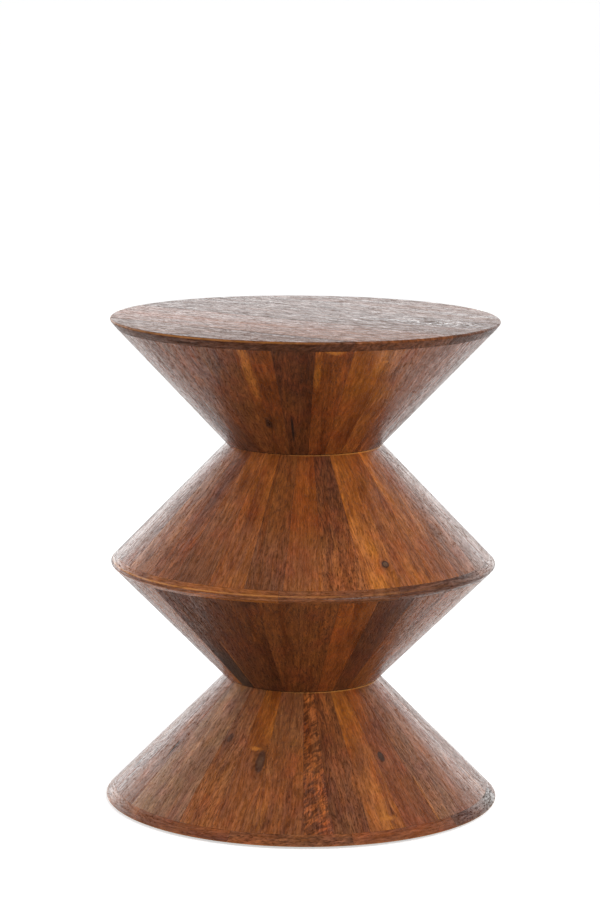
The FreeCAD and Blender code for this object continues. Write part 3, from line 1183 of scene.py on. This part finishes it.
feltPads = {
    "count": 5,
    "side": 20 * mm,
    "cornerRound": 3.0 * mm,
    "cornerSteps": 6,
    "easing": 0.5 * mm,
    "firstDegrees": 33.0,  # the middle of the first base segment
    "thickness": cadLevels("felt_pads")[1],
    "grit": ((900, 900, 900), 4.0, 0.7),  # fuzz
    "clumps": ((160, 160, 160), 2.0),
    "dark": (0.035, 0.028, 0.024),
    "pale": (0.085, 0.068, 0.056),
    "rough": (0.88, 1.0),
    "bump": (0.8, 0.5 * mm),
    "metal": 0.0,
    "sheen": 0.4,
}


def padMesh(pad):  # a rounded square, its top and bottom edges pressed soft
    inset = pad["side"] / 2 - pad["cornerRound"]
    outline = []
    for quarter in range(4):
        cornerX = inset if quarter in (0, 3) else -inset
        cornerY = inset if quarter in (0, 1) else -inset
        for step in range(pad["cornerSteps"] + 1):
            angle = fullTurn * (quarter + step / pad["cornerSteps"]) / 4
            x = cornerX + pad["cornerRound"] * math.cos(angle)
            outline.append((x, cornerY + pad["cornerRound"] * math.sin(angle), 0.0))
    body = bmesh.new()
    bottom = body.faces.new([body.verts.new(point) for point in outline])
    raised = bmesh.ops.extrude_face_region(body, geom=[bottom])["geom"]
    lifted = [v for v in raised if isinstance(v, bmesh.types.BMVert)]
    bmesh.ops.translate(body, verts=lifted, vec=(0, 0, pad["thickness"]))
    return solidMesh("feltPad", body)


def ringOfPads(pad):
    points = cadPoints("felt_pads")
    nearest = np.hypot(points[:, 0], points[:, 1]).min()  # the inner corners
    innerReach = math.sqrt(nearest**2 - (pad["side"] / 2) ** 2)
    settings = {
        "Count": pad["count"],
        "Radius": innerReach + pad["side"] / 2,
        "First Angle": math.radians(pad["firstDegrees"]),
        "Finish": speckledFinish("padFelt", pad),
    }
    pads = runTree(ringOfCopiesTree(), "feltPads", padMesh(pad), settings)
    easeEdges(pads, pad["easing"])
    handOver(pads, ["felt_pads"])


def refinish(nodes, material):  # CAD solids keep their shape and get a new finish
    for node in nodes:
        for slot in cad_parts[node].material_slots:
            slot.material = material


ringOfPads(feltPads)
plugWood = bareWood("plugWood", pale=(0.40, 0.25, 0.13), dark=(0.24, 0.13, 0.06), rate=55.0)
refinish([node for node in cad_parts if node.endswith("_plug")], plugWood)
refinish(["neck_screws"], speckledFinish("screwZinc", screwLook))
print("plugs, screws and pads finished")


# Studio: pale floor, white surround, two large soft lamps from the front
studio = {
    "floorHalf": 60.0,
    "floorColour": (0.82, 0.82, 0.82, 1.0),
    "floorGlow": 0.55,
    "mirrorShare": 0.85,  # how much of the glow shows in reflections
    "white": (1.0, 1.0, 1.0, 1.0),
    "horizon": (0.65, 2.2),  # in front and behind
    "horizonTurn": (-0.3, 0.8),
    "overhead": 0.35,
    "overheadMirror": 1.0,  # the white room over the table, as the lacquer shows it
    "overheadRise": (0.15, 0.75),
    "key": {"power": 95.0, "size": 2.2, "place": (1.7, -2.7, 2.5)},
    "fill": {"power": 32.0, "size": 2.2, "place": (-2.9, -1.5, 2.0)},
    "lampTarget": (0.0, 0.0, 0.28),
}


def mirrorRays(desk, rays):
    return desk.math("MAXIMUM", rays["Is Glossy Ray"], rays["Is Transmission Ray"])


def paleFloor():
    half = studio["floorHalf"]
    mesh = bpy.data.meshes.new("floor")
    corners = [(-half, -half, 0), (half, -half, 0), (half, half, 0), (-half, half, 0)]
    mesh.from_pydata(corners, [], [(0, 1, 2, 3)])
    material, desk = blankMaterial("paleFloor")
    rays = desk.add("ShaderNodeLightPath").outputs
    mirrored = desk.times(mirrorRays(desk, rays), studio["mirrorShare"])
    seen = desk.math("MAXIMUM", rays["Is Camera Ray"], mirrored)
    strength = desk.times(seen, studio["floorGlow"])
    paint = desk.make("ShaderNodeBsdfDiffuse", {"Color": studio["floorColour"]})
    glow = desk.make("ShaderNodeEmission", {"Color": studio["white"], "Strength": strength})
    desk.finishWith(desk.make("ShaderNodeAddShader", {0: paint, 1: glow}))
    mesh.materials.append(material)
    floor = addToScene("floor", mesh)


def whiteSurround():
    world = bpy.data.worlds.new("studio")
    bpy.context.scene.world = world
    world.use_nodes = True
    desk = Desk(world.node_tree)
    rays = desk.add("ShaderNodeLightPath").outputs
    away, rise = desk.split(desk.add("ShaderNodeTexCoord").outputs["Generated"])[1:]
    horizon = desk.between(*studio["horizon"], desk.step(away, *studio["horizonTurn"]))
    overhead = desk.between(studio["overhead"], studio["overheadMirror"], mirrorRays(desk, rays))
    level = desk.between(horizon, overhead, desk.step(rise, *studio["overheadRise"]))
    seen = desk.math("MAXIMUM", level, rays["Is Camera Ray"])
    background = desk.make("ShaderNodeBackground", {"Color": studio["white"], "Strength": seen})
    desk.finishWith(background, "ShaderNodeOutputWorld")


def softLamp(name):
    look = studio[name]
    lamp = bpy.data.lights.new(name, "AREA")
    lamp.shape = "DISK"
    lamp.size = look["size"]
    lamp.energy = look["power"]
    holder = addToScene(name, lamp)
    place = Vector(look["place"])
    aim = (Vector(studio["lampTarget"]) - place).to_track_quat("-Z", "Y")
    holder.matrix_world = Matrix.Translation(place) @ aim.to_matrix().to_4x4()


viewpoint = {
    "place": (-4.3 * mm, -3.1122, 0.8757),
    "pitchDegrees": 9.35,
    "rollDegrees": 0.53,
    "focalPixels": 3080.6,
    "imageHeight": 900,
    "sensor": 36.0,
    "clipEnd": 500,
}


def photoCamera():
    lens = bpy.data.cameras.new("photoCamera")
    lens.sensor_fit = "VERTICAL"
    lens.sensor_height = viewpoint["sensor"]
    lens.lens = viewpoint["focalPixels"] * viewpoint["sensor"] / viewpoint["imageHeight"]
    lens.clip_end = viewpoint["clipEnd"]
    camera = addToScene("photoCamera", lens)
    tilt = Matrix.Rotation(math.radians(90 - viewpoint["pitchDegrees"]), 4, "X")
    roll = Matrix.Rotation(math.radians(viewpoint["rollDegrees"]), 4, "Z")
    camera.matrix_world = Matrix.Translation(viewpoint["place"]) @ tilt @ roll
    bpy.context.scene.camera = camera


paleFloor()
whiteSurround()
softLamp("key")
softLamp("fill")
photoCamera()
bpy.context.scene.view_settings.view_transform = "Standard"
print("studio and camera set")
